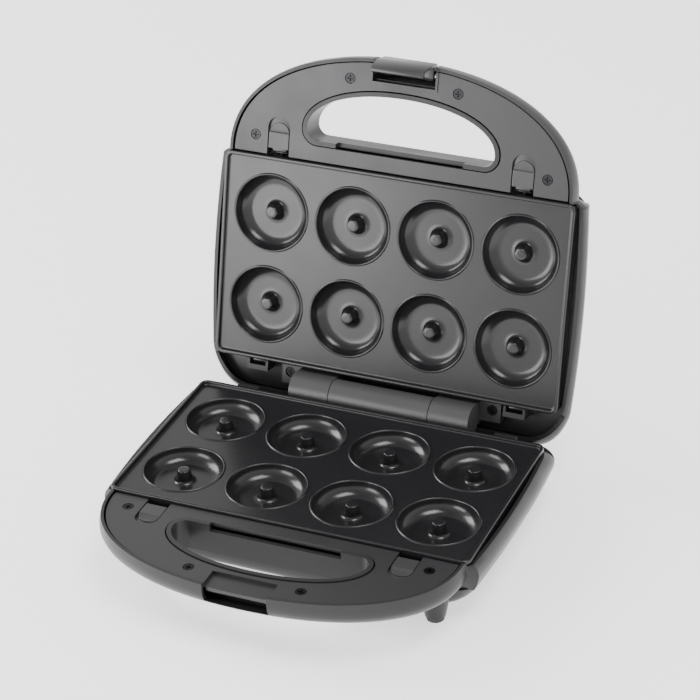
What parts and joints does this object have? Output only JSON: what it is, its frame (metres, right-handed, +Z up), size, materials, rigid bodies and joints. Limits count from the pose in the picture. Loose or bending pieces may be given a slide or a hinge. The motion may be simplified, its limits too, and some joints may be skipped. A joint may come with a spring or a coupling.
{
  "type": "donut maker",
  "caption": "Clamshell electric donut maker with an open lid, detachable ring-cavity plates, a looped handle with a latch, and a barrel hinge.",
  "frame": {"origin": "middle of the opened object's box, on the surface that the feet stand on", "axes": "+Z up, +X to the right, +Y to the back, from the handle towards the hinge"},
  "size_m": [0.2408, 0.2868, 0.2449],
  "materials": {
    "housing_plastic": "satin, fine texture",
    "frame_plastic": "satin",
    "nonstick_plate": "smooth non-stick coating",
    "button_plastic": "satin",
    "hinge_plastic": "satin",
    "latch_plastic": "satin",
    "zinc_steel": "zinc plated",
    "dark_screw_steel": "blackened",
    "element_steel": "oxidised",
    "shield_aluminium": "mill finish",
    "foot_rubber": "matt",
    "wire_insulation": "braided sleeve",
    "lens_plastic": "clear red",
    "lamp_glass": "neon lamp"
  },
  "bodies": {
    "base": {"lower_housing": "housing_plastic", "lower_inner_frame": "frame_plastic", "lower_plate_brackets": "zinc_steel", "lower_button_spring_left": "zinc_steel", "lower_button_spring_right": "zinc_steel", "lower_face_screws": "dark_screw_steel", "lower_heating_element": "element_steel", "lower_element_clips": "zinc_steel", "lower_heat_shield": "shield_aluminium", "lower_thermostat": "zinc_steel", "housing_screws": "dark_screw_steel", "thermal_fuse": "zinc_steel", "rubber_feet": "foot_rubber", "cord_gland": "foot_rubber", "terminal_block": "frame_plastic", "base_wiring": "wire_insulation", "hinge_centre_barrel": "hinge_plastic", "barrel_screws": "dark_screw_steel", "hinge_pin_left": "zinc_steel", "hinge_pin_right": "zinc_steel"},
    "lid": {"upper_housing": "housing_plastic", "upper_inner_frame": "frame_plastic", "upper_plate_brackets": "zinc_steel", "upper_button_spring_left": "zinc_steel", "upper_button_spring_right": "zinc_steel", "upper_face_screws": "dark_screw_steel", "upper_heating_element": "element_steel", "upper_element_clips": "zinc_steel", "upper_heat_shield": "shield_aluminium", "upper_thermostat": "zinc_steel", "lid_wiring": "wire_insulation", "hinge_knuckle_left": "hinge_plastic", "hinge_knuckle_right": "hinge_plastic", "knuckle_screws": "dark_screw_steel", "latch_pin": "zinc_steel", "indicator_lenses": "lens_plastic", "indicator_lamps": "lamp_glass"},
    "lower_plate": {"lower_cooking_plate": "nonstick_plate"},
    "upper_plate": {"upper_cooking_plate": "nonstick_plate"},
    "latch": {"latch_clip": "latch_plastic"},
    "lower_button_left": {"lower_release_button_left": "button_plastic"},
    "lower_button_right": {"lower_release_button_right": "button_plastic"},
    "upper_button_left": {"upper_release_button_left": "button_plastic"},
    "upper_button_right": {"upper_release_button_right": "button_plastic"}
  },
  "joints": [
    {"name": "lid_hinge", "type": "hinge", "parent": "base", "child": "lid", "pos_m": [0, 0.0684, 0.0394], "axis": [-1, 0, 0], "range_deg": [-104.3, 0]},
    {"name": "lower_plate_lift", "type": "slide", "parent": "base", "child": "lower_plate", "axis": [0, 0, 1], "range_m": [0, 0.03]},
    {"name": "upper_plate_lift", "type": "slide", "parent": "lid", "child": "upper_plate", "axis": [0, -0.969, 0.247], "range_m": [0, 0.015]},
    {"name": "latch_pivot", "type": "hinge", "parent": "lid", "child": "latch", "pos_m": [0, 0.13064, 0.23458], "axis": [-1, 0, 0], "range_deg": [0, 20]},
    {"name": "lower_button_left_slide", "type": "slide", "parent": "base", "child": "lower_button_left", "axis": [0, -1, 0], "range_m": [0, 0.004], "stiffness_N_per_m": 400, "springref_m": -0.003, "deforming": ["lower_button_spring_left"]},
    {"name": "lower_button_right_slide", "type": "slide", "parent": "base", "child": "lower_button_right", "axis": [0, -1, 0], "range_m": [0, 0.004], "stiffness_N_per_m": 400, "springref_m": -0.003, "deforming": ["lower_button_spring_right"]},
    {"name": "upper_button_left_slide", "type": "slide", "parent": "lid", "child": "upper_button_left", "axis": [0, 0.247, 0.969], "range_m": [0, 0.004], "stiffness_N_per_m": 400, "springref_m": -0.003, "deforming": ["upper_button_spring_left"]},
    {"name": "upper_button_right_slide", "type": "slide", "parent": "lid", "child": "upper_button_right", "axis": [0, 0.247, 0.969], "range_m": [0, 0.004], "stiffness_N_per_m": 400, "springref_m": -0.003, "deforming": ["upper_button_spring_right"]}
  ]
}
